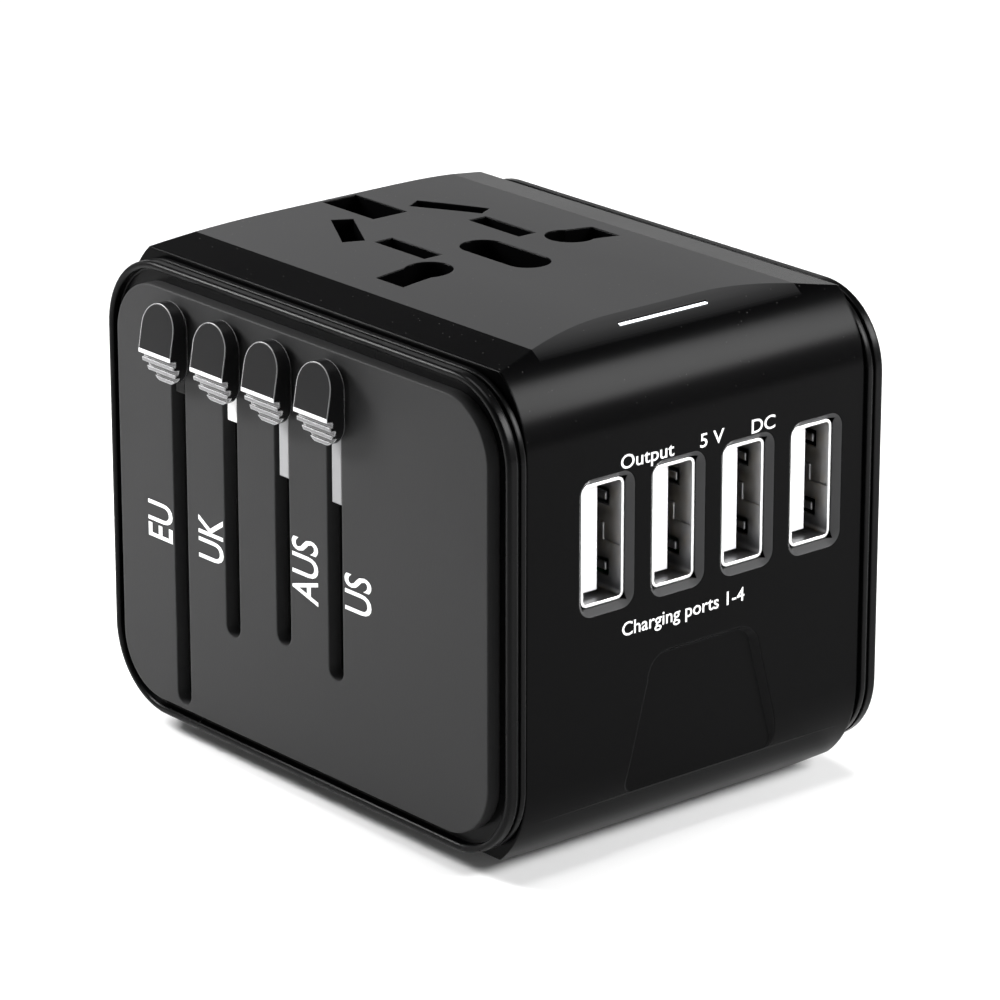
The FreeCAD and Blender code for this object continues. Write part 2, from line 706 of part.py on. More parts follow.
def make_socket_contacts():
    """The brass that grips the inserted plug: a line side, a neutral side and the earth."""
    base = ("35.4", "36.2")
    for name, k in (("neutral", -1), ("line", 1)):
        def across(low, high):
            return (low, high) if k > 0 else (f"0 - {high}", f"0 - {low}")
        wall = box(f"{name}_wall", ("-18.1", "4.9"), across("14.8", "15.5"), ("35.4", "46"))
        foot = box(f"{name}_foot", ("-18.1", "4.9"), across("4.6", "15"), base)
        pin_way = box(f"{name}_pin_way", ("-0.7", "3.9"), across("5.6", "14.7"), ("34", "37"))
        blade_way = centred_box(f"{name}_blade_way", ("us_slot_x", f"({k}) * us_pitch / 2", "35.8"),
                                ("us_slot_long", "us_slot_wide", "3"))
        slanted_way = turned_box(f"{name}_slanted_way", ("aus_slot_x", f"({k}) * aus_pitch / 2"),
                                 "us_slot_long", "us_slot_wide", f"({k}) * aus_angle", ("34", "37"))
        floor_plate = cut(f"{name}_floor", foot, pin_way, blade_way, slanted_way)
        leaves = [
            box(f"{name}_leaf_1", ("-1.3", "-0.7"), across("9.6", "15"), ("35.4", "50")),
            box(f"{name}_leaf_2", ("3.9", "4.5"), across("7.0", "15"), ("35.4", "50")),
            box(f"{name}_leaf_3", ("-8.6", "-2.4"), across("7.6", "8.2"), ("35.4", "49")),
            box(f"{name}_leaf_4", ("-18.1", "-11.2"), across("12.2", "12.8"), ("35.4", "49")),
        ]
        piece(fuse(f"{name}_contact", wall, floor_plate, *leaves))
    rails = []
    for i, k in enumerate((-1, 1)):
        low, high = ("2.5", "3.2") if k > 0 else ("-3.2", "-2.5")
        rails.append(box(f"earth_rail_{i}", ("-25", "9.2"), (low, high), ("33.4", "34.8")))
        rails.append(box(f"earth_clip_{i}", ("-24.6", "-16.6"), (low, high), ("33.4", "50")))
        rails.append(box(f"round_earth_clip_{i}", ("3.4", "9.2"), (low, high), ("33.4", "50")))
    rails.append(box("earth_bridge", ("9.2", "9.9"), ("-3.2", "3.2"), ("33.4", "40")))
    piece(fuse("earth_contact", *rails))


def make_contact_deck():
    """The insulating deck between the socket's contacts above and the sliders below."""
    deck = box("deck_plate", ("-15.8", "15.8"), ("-16", "16"), ("32.0", "33.4"))
    ribs = [box(f"deck_rib_{i}", ("-12", "2"), (low, high), ("33.4", "35.4"))
            for i, (low, high) in enumerate((("12", "14"), ("-14", "-12")))]
    posts = [cylinder(f"deck_post_{i}", "1.4", "17.9", ("12.6", y, "33.4"))
             for i, y in enumerate(("-13", "13"))]
    piece(fuse("contact_deck", deck, *ribs, *posts))


def make_fuse_drawer():
    """The fuse, its drawer in the rear cover, and the leaf springs that touch its caps."""
    rear = "body_depth / 2 + cover_depth + plate_proud"
    low = "drawer_z - drawer_high / 2"
    tray = box("drawer_tray", ("0 - drawer_long / 2", "drawer_long / 2"), ("16.4", rear), (low, "drawer_z"))
    well = box("drawer_well", ("0 - fuse_long / 2 - 0.3", "fuse_long / 2 + 0.3"), ("17.0", "23.5"),
               (f"{low} + 0.9", "drawer_z + 1"))
    front = box("drawer_front", ("0 - drawer_long / 2", "drawer_long / 2"), (f"{rear} - 1.6", rear),
                (low, "drawer_z + drawer_high / 2"))
    notch = box("drawer_notch", ("-4", "4"), (f"{rear} - 0.8", f"{rear} + 1"),
                ("drawer_z + drawer_high / 2 - 1.4", "drawer_z + drawer_high / 2 + 1"))
    piece(cut("fuse_drawer", fuse("drawer_body", tray, front), well, notch))
    tube_start = "0 - fuse_long / 2"
    piece(cylinder("fuse", "fuse_dia / 2", "fuse_long", (tube_start, "20.25", "drawer_z - 0.4"), "x"))
    springs = [box(f"fuse_spring_{i}", (x, f"{x} + 3"), ("19.2", "21.2"), ("44.4", "body_height / 2 + 24"))
               for i, x in enumerate(("-12.5", "9.5"))]
    piece(group("fuse_springs", *springs))


def slider_parts(name, arm_low):
    """What each slider has at the slot: a pocket for its button, an arm down, and a tail."""
    line = SLIDERS[name]["line"]
    inside = "0 - body_depth / 2 + 0.8"
    cup = box(f"{name}_cup_block", (f"{line} - 2.4", f"{line} + 2.4"), (inside, "-16.5"),
              ("knob_z - 3.5", "knob_z + 3.5"))
    hole = box(f"{name}_cup_hole", (f"{line} - 1.05", f"{line} + 1.05"), (f"{inside} - 1", "-17.3"),
               ("knob_z - 2.7", "knob_z + 2.7"))
    arm = box(f"{name}_arm", (f"{line} - 0.9", f"{line} + 0.9"), (inside, "-17.5"), (arm_low, "knob_z - 3.4"))
    tail = box(f"{name}_tail", (f"{line} - 0.45", f"{line} + 1.05"),
               ("0 - body_depth / 2 - cover_depth - plate_proud + 0.1", f"{inside} + 0.2"),
               (SLIDERS[name]["tail"], "knob_z - 3.1"))
    return [cut(f"{name}_cup", cup, hole), arm, tail]


def make_eu_slider():
    """The round-pin plug: a deep block that slides out with its two pins."""
    low = "eu_pin_long + 0.5"
    top = "41.6"
    towers = [box(f"eu_tower_{i}", ("eu_pin_x - 3.4", "eu_pin_x + 3.4"), y, (low, top))
              for i, y in enumerate((("-13.5", "-5.2"), ("5.2", "13.5")))]
    bridge = box("eu_bridge", ("eu_pin_x - 3.4", "eu_pin_x + 3.4"), ("-5.2", "5.2"), (low, f"{low} + 5"))
    link = box("eu_link", ("eu_pin_x + 0.9", "eu_line + 0.9"), ("-18", "-13.4"), ("37.7", top))
    piece(fuse("eu_plug_block", *towers, bridge, link, *slider_parts("eu", "37.7")))
    pins = []
    sleeves = []
    for i, k in enumerate((-1, 1)):
        at = ("eu_pin_x", f"({k}) * eu_pitch / 2")
        core = cylinder(f"eu_pin_core_{i}", "1.5", "10", (*at, f"{low} - 10"))
        tip = cylinder(f"eu_pin_tip_{i}", "eu_pin_dia / 2", "eu_pin_long - 10", (*at, "0.5"))
        pins.append(fuse(f"eu_pin_{i}", core, tip))
        tube = cylinder(f"eu_sleeve_tube_{i}", "eu_pin_dia / 2 - 0.1", "10", (*at, f"{low} - 10"))
        bore = cylinder(f"eu_sleeve_bore_{i}", "1.5", "10", (*at, f"{low} - 10"))
        sleeves.append(cut(f"eu_sleeve_{i}", tube, bore))
    piece(group("eu_pins", *pins))
    piece(group("eu_pin_sleeves", *sleeves))


def make_uk_slider():
    """The three-pin plug: a bar over two pins that reaches round the rear to the earth pin."""
    low = "floor + 0.2 + uk_travel"
    high = f"{low} + 4.6"
    bar = box("uk_bar", ("uk_pin_x - 3", "uk_pin_x + 3"), ("-18", "20.2"), (low, high))
    rear = box("uk_rear_arm", ("uk_pin_x", "13.9"), ("16.2", "20.2"), (low, high))
    reach = box("uk_reach", ("8.5", "13.9"), ("-2.2", "17"), (low, high))
    head = box("uk_earth_head", ("5.7", "13.9"), ("-2.2", "2.2"), (low, high))
    piece(fuse("uk_carriage", bar, rear, reach, head, *slider_parts("uk", low)))
    pins = []
    sleeves = []
    tip_z = "uk_travel - uk_pin_long"
    sleeve_low = f"{low} - 9 - 2.4"
    for i, k in enumerate((-1, 1)):
        y = f"({k}) * uk_pitch / 2"
        shank = box(f"uk_shank_{i}", ("uk_pin_x - uk_thick / 2 + 0.5", "uk_pin_x + uk_thick / 2 - 0.5"),
                    (f"{y} - uk_wide / 2 + 0.5", f"{y} + uk_wide / 2 - 0.5"), (sleeve_low, low))
        tip = box(f"uk_tip_{i}", ("uk_pin_x - uk_thick / 2", "uk_pin_x + uk_thick / 2"),
                  (f"{y} - uk_wide / 2", f"{y} + uk_wide / 2"), (tip_z, sleeve_low))
        pins.append(fuse(f"uk_pin_{i}", shank, tip))
        jacket = box(f"uk_jacket_{i}", ("uk_pin_x - uk_thick / 2", "uk_pin_x + uk_thick / 2"),
                     (f"{y} - uk_wide / 2", f"{y} + uk_wide / 2"), (sleeve_low, low))
        core = box(f"uk_jacket_core_{i}", ("uk_pin_x - uk_thick / 2 + 0.5", "uk_pin_x + uk_thick / 2 - 0.5"),
                   (f"{y} - uk_wide / 2 + 0.5", f"{y} + uk_wide / 2 - 0.5"), (sleeve_low, low))
        sleeves.append(cut(f"uk_sleeve_{i}", jacket, core))
    piece(group("uk_line_pins", *pins))
    piece(group("uk_pin_sleeves", *sleeves))
    piece(box("uk_earth_pin",
              ("uk_pin_x + uk_pitch - uk_earth_wide / 2", "uk_pin_x + uk_pitch + uk_earth_wide / 2"),
              ("0 - uk_thick / 2", "uk_thick / 2"), ("uk_travel - uk_earth_long", low)))


def make_aus_slider():
    """The slanted-blade plug."""
    low = "floor + 0.2 + aus_travel"
    high = f"{low} + 6"
    bar = box("aus_bar", ("aus_pin_x - 2.7", "aus_pin_x + 2.7"), ("-18", "9.6"), (low, high))
    piece(fuse("aus_carriage", bar, *slider_parts("aus", low)))
    blades = [turned_box(f"aus_blade_{i}", ("aus_pin_x", f"({k}) * aus_pitch / 2"), "blade_wide", "blade_thick",
                         f"({k}) * aus_angle", ("aus_travel - aus_pin_long", low))
              for i, k in enumerate((-1, 1))]
    piece(group("aus_blades", *blades))


def make_us_slider():
    """The flat-blade plug."""
    low = "floor + 0.2 + us_travel"
    high = f"{low} + 6"
    bar = box("us_bar", ("0.8", "4.8"), ("-18", "8.2"), (low, high))
    pads = [box(f"us_pad_{i}", ("0.8", "7.8"), y, (low, high))
            for i, y in enumerate((("-18", "-5"), ("5", "8.2")))]
    piece(fuse("us_carriage", bar, *pads, *slider_parts("us", low)))
    tip = "us_travel - us_pin_long"
    blades = [centred_box(f"us_blade_{i}", ("us_pin_x", f"({k}) * us_pitch / 2", f"({tip} + {low}) / 2"),
                          ("blade_wide", "blade_thick - 0.1", f"{low} - ({tip})"))
              for i, k in enumerate((-1, 1))]
    piece(group("us_blades", *blades))


RIBS = 4
RIB_PITCH = 1.0
RIB_HIGH = 0.4
RIB_STEP_BACK = 0.45
RIB_GROOVE = 0.25


def make_button(name):
    """A push button: an arched pad that leans out to a sharp lip, with ribs that step back below it."""
    line = SLIDERS[name]["line"]
    back = size("body_depth") / 2 + size("cover_depth") + size("plate_proud") + size("knob_gap")
    depth = size("knob_depth")
    middle = size("knob_z")
    half = size("knob_height") / 2
    profile = doc.addObject("PartDesign::Body", f"{name}_button_profile")
    sketch = sketch_on(profile, f"{name}_side_view", "YZ_Plane", f"{line} - knob_width / 2")
    lip = middle - 0.18 * half
    front = -back - depth
    side_view = [(-back, middle + half), (front + 0.9, middle + half)]
    for rib in range(RIBS):
        out = front + rib * RIB_STEP_BACK
        top = lip - rib * RIB_PITCH
        groove = out + RIB_STEP_BACK + RIB_GROOVE
        side_view += [(out, top), (out, top - RIB_HIGH), (groove, top - RIB_HIGH - 0.1)]
        if rib < RIBS - 1:
            side_view.append((groove, top - RIB_PITCH))
    side_view += [(-back - 0.2, middle - half), (-back, middle - half)]
    outline(sketch, side_view)
    pad(profile, f"{name}_button_side", sketch, "knob_width")
    face = doc.addObject("PartDesign::Body", f"{name}_button_face")
    seat = "body_depth / 2 + cover_depth + plate_proud + knob_gap"
    arch = sketch_on(face, f"{name}_front_view", "XZ_Plane", seat)
    x = size(line)
    radius = size("knob_width") / 2
    low = middle - half + radius
    high = middle + half - radius
    outline(arch, [
        (x + radius, low),
        (x + radius, high),
        ((x, high + radius), (x - radius, high)),
        (x - radius, low),
        ((x, low - radius), (x + radius, low)),
    ])
    pad(face, f"{name}_button_arch", arch, "knob_depth + 1")
    head = doc.addObject("Part::MultiCommon", f"{name}_button_head")
    head.Shapes = [profile, face]
    stem = box(f"{name}_stem", (f"{line} - 0.95", f"{line} + 0.95"), (f"0 - {back}", "-19.0"),
               ("knob_z - 2.6", "knob_z + 2.6"))
    piece(fuse(f"{name}_button", head, stem))
    piece(cylinder(f"{name}_button_spring", "0.9", "1.7", (line, "-19.0", "knob_z"), "y"))


make_body_shell()
make_cover("front_cover", -1)
make_cover("rear_cover", 1)
make_plate("front_plate", -1)
make_plate("rear_plate", 1)
make_screws()
make_light_bar()
for port in range(4):
    make_usb_port(port)
make_usb_contacts()
make_electronics()
make_socket_contacts()
make_contact_deck()
make_fuse_drawer()
make_eu_slider()
make_uk_slider()
make_aus_slider()
make_us_slider()
for slider_name in SLIDERS:
    make_button(slider_name)

doc.recompute()
for obj in doc.Objects:
    if "Invalid" in obj.State or "Error" in obj.State:
        raise RuntimeError(f"{obj.Label} failed: {obj.State}")
os.makedirs("parts", exist_ok=True)
for obj in PIECES:
    if obj.Shape.isNull() or not obj.Shape.isValid():
        raise RuntimeError(f"{obj.Label} has no valid shape")
    obj.Shape.exportStep(f"parts/{obj.Label}.step")
print(len(PIECES), "sub-parts written")
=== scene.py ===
import bpy
import json
import math
from mathutils import Matrix, Vector


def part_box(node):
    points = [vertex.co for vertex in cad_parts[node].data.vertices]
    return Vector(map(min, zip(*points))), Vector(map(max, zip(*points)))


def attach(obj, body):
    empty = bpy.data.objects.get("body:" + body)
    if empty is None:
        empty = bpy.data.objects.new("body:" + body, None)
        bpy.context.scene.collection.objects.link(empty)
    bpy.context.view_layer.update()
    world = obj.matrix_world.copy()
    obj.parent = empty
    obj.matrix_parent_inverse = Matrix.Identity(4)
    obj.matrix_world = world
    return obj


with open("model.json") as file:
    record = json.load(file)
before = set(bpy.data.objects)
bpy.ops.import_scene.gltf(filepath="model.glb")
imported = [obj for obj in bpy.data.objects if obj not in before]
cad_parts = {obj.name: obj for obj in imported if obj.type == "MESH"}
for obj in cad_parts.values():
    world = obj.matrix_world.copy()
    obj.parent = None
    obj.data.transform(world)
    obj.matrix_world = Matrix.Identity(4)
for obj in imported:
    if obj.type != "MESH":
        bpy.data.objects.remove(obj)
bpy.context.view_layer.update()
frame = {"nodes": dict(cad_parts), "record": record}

MM = 0.001
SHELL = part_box("body_shell")
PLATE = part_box("front_plate")
MIDDLE_Z = (SHELL[0].z + SHELL[1].z) / 2
FACE_X = SHELL[1].x
PLATE_Y = PLATE[0].y
PORT_MOUTH_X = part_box("usb_shell_1")[1].x

# Where painted highlights and painted light start and stop, on the buttons and on the casing.
LIP_Z = 44.55 * MM
RIBS_Z = 44.05 * MM
SOCKET_FACE_HALF = 17.5 * MM
FILLET_FOOT_Z = 42.5 * MM
RECESS_TOP_Z = 22.0 * MM
BEVEL_DEEP = 0.9 * MM
BEVEL_FACING = 0.70
BEVEL_SPAN = 0.22
RECESS_BEVEL_HIGHLIGHT = 0.12

# What the plastics and the metals share.
PLASTIC_EDGE = 0.0003
BUTTON_EDGE = 0.00025
METAL_EDGE = 0.0002
GRAIN_STRENGTH = 0.35
SCRATCH_SCALE = 2500.0
DUST_COLOUR = (0.45, 0.44, 0.42)

# Camera: how far it stands, where it looks from and how the object sits in the view.
VIEW_AZIMUTH = math.radians(49.82)
VIEW_ELEVATION = math.radians(19.07)
VIEW_DISTANCE = 540.9 * MM
VIEW_RIGHT = 1.08 * MM
VIEW_UP = -0.07 * MM
LENS_MM = 185.5


# --- shader node groups, each an effect that several finishes share -------------------------------

def new_group(name, inputs, outputs):
    """An empty node group with float inputs (name, value) and outputs (name, socket type)."""
    group = bpy.data.node_groups.new(name, "ShaderNodeTree")
    for label, value in inputs:
        socket = group.interface.new_socket(label, in_out="INPUT", socket_type="NodeSocketFloat")
        socket.default_value = value
    for label, kind in outputs:
        group.interface.new_socket(label, in_out="OUTPUT", socket_type=kind)
    into = group.nodes.new("NodeGroupInput")
    out = group.nodes.new("NodeGroupOutput")
    return group, into, out


def math_node(tree, operation, first, second=None, third=None, clamp=False):
    """A Math node whose inputs are sockets or numbers."""
    node = tree.nodes.new("ShaderNodeMath")
    node.operation = operation
    node.use_clamp = clamp
    for slot, value in enumerate((first, second, third)):
        if value is None:
            continue
        if isinstance(value, (int, float)):
            node.inputs[slot].default_value = value
        else:
            tree.links.new(value, node.inputs[slot])
    return node.outputs[0]


def make_grain_group():
    """Moulded grain: a fine spark-eroded texture and a slow drift in gloss."""
    group, into, out = new_group(
        "moulded_grain", [("Grain", 9000.0), ("Drift", 60.0)],
        [("Height", "NodeSocketFloat"), ("Gloss Drift", "NodeSocketFloat")])
    place = group.nodes.new("ShaderNodeTexCoord")
    fine = group.nodes.new("ShaderNodeTexNoise")
    fine.inputs["Detail"].default_value = 3.0
    slow = group.nodes.new("ShaderNodeTexNoise")
    slow.inputs["Detail"].default_value = 2.0
    links = group.links
    links.new(place.outputs["Object"], fine.inputs["Vector"])
    links.new(place.outputs["Object"], slow.inputs["Vector"])
    links.new(into.outputs["Grain"], fine.inputs["Scale"])
    links.new(into.outputs["Drift"], slow.inputs["Scale"])
    links.new(fine.outputs["Fac"], out.inputs["Height"])
    links.new(slow.outputs["Fac"], out.inputs["Gloss Drift"])
    return group


def make_edge_group():
    """Edges: a mask that is 1 along sharp edges, where a painted highlight is laid, and a softened normal.
    """
    group, into, out = new_group(
        "edge_highlight_and_soft_normal", [("Width", 0.0004), ("Low", 0.04), ("High", 0.16)],
        [("Edge", "NodeSocketFloat"), ("Soft Normal", "NodeSocketVector")])
    bevel = group.nodes.new("ShaderNodeBevel")
    bevel.samples = 6
    shape = group.nodes.new("ShaderNodeNewGeometry")
    dot = group.nodes.new("ShaderNodeVectorMath")
    dot.operation = "DOT_PRODUCT"
    ramp = group.nodes.new("ShaderNodeMapRange")
    ramp.interpolation_type = "SMOOTHSTEP"
    links = group.links
    links.new(into.outputs["Width"], bevel.inputs["Radius"])
    links.new(bevel.outputs["Normal"], dot.inputs[0])
    links.new(shape.outputs["Normal"], dot.inputs[1])
    away = math_node(group, "SUBTRACT", 1.0, dot.outputs["Value"])
    links.new(away, ramp.inputs["Value"])
    links.new(into.outputs["Low"], ramp.inputs["From Min"])
    links.new(into.outputs["High"], ramp.inputs["From Max"])
    links.new(ramp.outputs["Result"], out.inputs["Edge"])
    links.new(bevel.outputs["Normal"], out.inputs["Soft Normal"])
    return group


def make_dust_group():
    """Dust: sparse pale specks that lie on what faces up."""
    group, into, out = new_group(
        "settled_dust", [("Speck", 900.0), ("Amount", 0.2)], [("Dust", "NodeSocketFloat")])
    place = group.nodes.new("ShaderNodeTexCoord")
    specks = group.nodes.new("ShaderNodeTexVoronoi")
    shape = group.nodes.new("ShaderNodeNewGeometry")
    split = group.nodes.new("ShaderNodeSeparateXYZ")
    links = group.links
    links.new(place.outputs["Object"], specks.inputs["Vector"])
    links.new(into.outputs["Speck"], specks.inputs["Scale"])
    links.new(shape.outputs["Normal"], split.inputs["Vector"])
    near = math_node(group, "LESS_THAN", specks.outputs["Distance"], 0.06)
    upward = math_node(group, "MAXIMUM", split.outputs["Z"], 0.0)
    lying = math_node(group, "MULTIPLY", near, upward)
    amount = math_node(group, "MULTIPLY", lying, into.outputs["Amount"])
    links.new(amount, out.inputs["Dust"])
    return group


GRAIN = make_grain_group()
EDGE = make_edge_group()
DUST = make_dust_group()


# --- finishes -------------------------------------------------------------------------------------

def new_finish(name):
    """A material with a bare Principled shader; returns the material, its tree and the shader."""
    material = bpy.data.materials.new(name)
    material.use_nodes = True
    tree = material.node_tree
    shader = tree.nodes["Principled BSDF"]
    return material, tree, shader


def add_group(tree, group, **values):
    node = tree.nodes.new("ShaderNodeGroup")
    node.node_tree = group
    for label, value in values.items():
        node.inputs[label.replace("_", " ")].default_value = value
    return node


def mix_colour(tree, mask, low, high):
    """A colour that goes from low to high with a mask; low may be a socket."""
    node = tree.nodes.new("ShaderNodeMix")
    node.data_type = "RGBA"
    tree.links.new(mask, node.inputs["Factor"])
    for socket, value in ((node.inputs["A"], low), (node.inputs["B"], high)):
        if isinstance(value, tuple):
            socket.default_value = (*value, 1.0)
        else:
            tree.links.new(value, socket)
    return node.outputs["Result"]


def spread(tree, value, low, high):
    """A 0 to 1 value spread between two numbers."""
    node = tree.nodes.new("ShaderNodeMapRange")
    node.inputs["To Min"].default_value = low
    node.inputs["To Max"].default_value = high
    tree.links.new(value, node.inputs["Value"])
    return node.outputs["Result"]


def object_position(tree):
    """The X, Y and Z of the shaded point in the object's own space."""
    place = tree.nodes.new("ShaderNodeTexCoord")
    split = tree.nodes.new("ShaderNodeSeparateXYZ")
    tree.links.new(place.outputs["Object"], split.inputs["Vector"])
    return split.outputs


def surface_facing(tree):
    """The X, Y and Z of the direction that the shaded surface faces."""
    shape = tree.nodes.new("ShaderNodeNewGeometry")
    split = tree.nodes.new("ShaderNodeSeparateXYZ")
    tree.links.new(shape.outputs["Normal"], split.inputs["Vector"])
    return split.outputs


def fine_relief(tree, shader, height, soft_normal, strength, distance):
    """A bump of a fine texture laid over softened edges."""
    bump = tree.nodes.new("ShaderNodeBump")
    bump.inputs["Strength"].default_value = strength
    bump.inputs["Distance"].default_value = distance
    tree.links.new(height, bump.inputs["Height"])
    tree.links.new(soft_normal, bump.inputs["Normal"])
    tree.links.new(bump.outputs["Normal"], shader.inputs["Normal"])


def plastic(name, dark, light, rough, grain=9000.0, depth=0.02, specular=0.5, dust=0.10):
    """Moulded plastic: two close shades, fine grain, gloss drift, softened edges and a little dust."""
    material, tree, shader = new_finish(name)
    links = tree.links
    texture = add_group(tree, GRAIN, Grain=grain)
    edges = add_group(tree, EDGE, Width=PLASTIC_EDGE)
    specks = add_group(tree, DUST, Amount=dust)
    shade = mix_colour(tree, texture.outputs["Gloss Drift"], dark, light)
    shade = mix_colour(tree, specks.outputs["Dust"], shade, DUST_COLOUR)
    links.new(shade, shader.inputs["Base Color"])
    gloss = spread(tree, texture.outputs["Gloss Drift"], rough - 0.04, rough + 0.04)
    links.new(gloss, shader.inputs["Roughness"])
    shader.inputs["Specular IOR Level"].default_value = specular
    soft_normal = edges.outputs["Soft Normal"]
    fine_relief(tree, shader, texture.outputs["Height"], soft_normal, GRAIN_STRENGTH, depth * MM)
    return material


def metal(name, colour, dull, rough, stretch=(1.0, 1.0, 1.0), painted_rim_x=None):
    """Drawn or plated metal: fine marks along the sheet, small stains and softened edges.
    Past a given X it is painted near white, a painted highlight on the cut end of the sheet."""
    material, tree, shader = new_finish(name)
    links = tree.links
    place = tree.nodes.new("ShaderNodeTexCoord")
    turn = tree.nodes.new("ShaderNodeMapping")
    turn.inputs["Scale"].default_value = stretch
    marks = tree.nodes.new("ShaderNodeTexNoise")
    marks.inputs["Scale"].default_value = SCRATCH_SCALE
    marks.inputs["Detail"].default_value = 4.0
    links.new(place.outputs["Object"], turn.inputs["Vector"])
    links.new(turn.outputs["Vector"], marks.inputs["Vector"])
    texture = add_group(tree, GRAIN, Grain=6000.0, Drift=300.0)
    edges = add_group(tree, EDGE, Width=METAL_EDGE)
    shade = mix_colour(tree, texture.outputs["Gloss Drift"], colour, dull)
    if painted_rim_x is not None:
        # Painted highlight: past this X the metal is near white for the light its rim catches.
        painted_mouth_highlight = math_node(tree, "GREATER_THAN", object_position(tree)["X"], painted_rim_x)
        shade = mix_colour(tree, painted_mouth_highlight, shade, (0.95, 0.95, 0.95))
    links.new(shade, shader.inputs["Base Color"])
    gloss = spread(tree, marks.outputs["Fac"], rough - 0.07, rough + 0.10)
    links.new(gloss, shader.inputs["Roughness"])
    shader.inputs["Metallic"].default_value = 1.0
    fine_relief(tree, shader, marks.outputs["Fac"], edges.outputs["Soft Normal"], 0.2, 0.01 * MM)
    return material


def casing_plastic(name):
    """The casing: gloss black sides, a fine-textured socket face between its two facets painted lighter as
    painted light from above, and bevels round the ports and round the finger recess painted grey as painted
    highlights."""
    material, tree, shader = new_finish(name)
    links = tree.links
    texture = add_group(tree, GRAIN)
    edges = add_group(tree, EDGE, Width=PLASTIC_EDGE)
    specks = add_group(tree, DUST, Amount=0.10)
    spot = object_position(tree)
    facing = surface_facing(tree)
    # Painted light: the socket face, faded in as the surface turns up, is given a lighter colour for the
    # light from above; the same mask makes it rougher.
    upward = tree.nodes.new("ShaderNodeMapRange")
    upward.inputs["From Min"].default_value = 0.74
    upward.inputs["From Max"].default_value = 0.97
    links.new(facing["Z"], upward.inputs["Value"])
    aside = math_node(tree, "ABSOLUTE", spot["Y"])
    between_facets = math_node(tree, "LESS_THAN", aside, SOCKET_FACE_HALF)
    painted_top_light_and_matte = math_node(tree, "MULTIPLY", upward.outputs["Result"], between_facets)
    # Painted highlight: slanted bevels on the end face round the ports are painted grey for the light they
    # catch, only faintly round the finger recess.
    slanted = math_node(tree, "COMPARE", facing["X"], BEVEL_FACING, BEVEL_SPAN)
    below_fillet = math_node(tree, "LESS_THAN", spot["Z"], FILLET_FOOT_Z)
    near_face = math_node(tree, "GREATER_THAN", spot["X"], FACE_X - BEVEL_DEEP)
    inside_fillets = math_node(tree, "MULTIPLY", below_fillet, near_face)
    bevels = math_node(tree, "MULTIPLY", slanted, inside_fillets)
    above_recess = math_node(tree, "GREATER_THAN", spot["Z"], RECESS_TOP_Z)
    bevel_highlight_strength = spread(tree, above_recess, RECESS_BEVEL_HIGHLIGHT, 1.0)
    painted_bevel_highlight = math_node(tree, "MULTIPLY", bevels, bevel_highlight_strength)
    black = (0.0008, 0.0008, 0.0009)
    worn_black = (0.0013, 0.0013, 0.0014)
    shade = mix_colour(tree, texture.outputs["Gloss Drift"], black, worn_black)
    # Painted light from above on the socket face.
    shade = mix_colour(tree, painted_top_light_and_matte, shade, (0.036, 0.036, 0.0365))
    # Painted highlight on the bevels.
    shade = mix_colour(tree, painted_bevel_highlight, shade, (0.060, 0.060, 0.061))
    shade = mix_colour(tree, specks.outputs["Dust"], shade, DUST_COLOUR)
    links.new(shade, shader.inputs["Base Color"])
    gloss = spread(tree, texture.outputs["Gloss Drift"], 0.20, 0.27)
    matte = math_node(tree, "MULTIPLY", painted_top_light_and_matte, 0.30)
    links.new(math_node(tree, "ADD", gloss, matte), shader.inputs["Roughness"])
    shader.inputs["Specular IOR Level"].default_value = 0.035
    soft_normal = edges.outputs["Soft Normal"]
    fine_relief(tree, shader, texture.outputs["Height"], soft_normal, GRAIN_STRENGTH, 0.006 * MM)
    return material


def button_plastic(name):
    """Button plastic: near black, with the front faces of the lip and of the ribs below it painted bright as
    painted highlights, and a thin painted highlight line round the rim."""
    material, tree, shader = new_finish(name)
    links = tree.links
    texture = add_group(tree, GRAIN)
    edges = add_group(tree, EDGE, Width=BUTTON_EDGE)
    height = object_position(tree)["Z"]
    # Painted highlight: forward faces below the lip top are painted near white, fully on the lip and fainter
    # on the ribs.
    below_lip = math_node(tree, "LESS_THAN", height, LIP_Z)
    forward = math_node(tree, "LESS_THAN", surface_facing(tree)["Y"], -0.85)
    painted_lip_highlight = math_node(tree, "MULTIPLY", below_lip, forward)
    on_lip = math_node(tree, "GREATER_THAN", height, RIBS_Z)
    painted_lip_highlight = math_node(tree, "MULTIPLY", painted_lip_highlight, spread(tree, on_lip, 0.22, 1.0))
    # Painted highlight along the sharp edges round the rim.
    painted_rim_highlight = math_node(tree, "MULTIPLY", edges.outputs["Edge"], 0.6, clamp=True)
    bright = math_node(tree, "MAXIMUM", painted_lip_highlight, painted_rim_highlight)
    shade = mix_colour(tree, texture.outputs["Gloss Drift"], (0.005, 0.005, 0.0052), (0.008, 0.008, 0.0083))
    shade = mix_colour(tree, bright, shade, (0.80, 0.80, 0.81))
    links.new(shade, shader.inputs["Base Color"])
    gloss = spread(tree, texture.outputs["Gloss Drift"], 0.20, 0.28)
    links.new(gloss, shader.inputs["Roughness"])
    shader.inputs["Specular IOR Level"].default_value = 0.25
    soft_normal = edges.outputs["Soft Normal"]
    fine_relief(tree, shader, texture.outputs["Height"], soft_normal, GRAIN_STRENGTH, 0.008 * MM)
    return material


def glowing_light(name):
    """The indicator: frosted plastic lit from inside, its glow slowly uneven."""
    material, tree, shader = new_finish(name)
    links = tree.links
    texture = add_group(tree, GRAIN, Grain=4000.0, Drift=250.0)
    glow = mix_colour(tree, texture.outputs["Gloss Drift"], (0.80, 0.86, 0.95), (1.0, 1.0, 1.0))
    links.new(glow, shader.inputs["Base Color"])
    links.new(glow, shader.inputs["Emission Color"])
    gloss = spread(tree, texture.outputs["Height"], 0.35, 0.5)
    links.new(gloss, shader.inputs["Roughness"])
    shader.inputs["Emission Strength"].default_value = 1.1
    return material


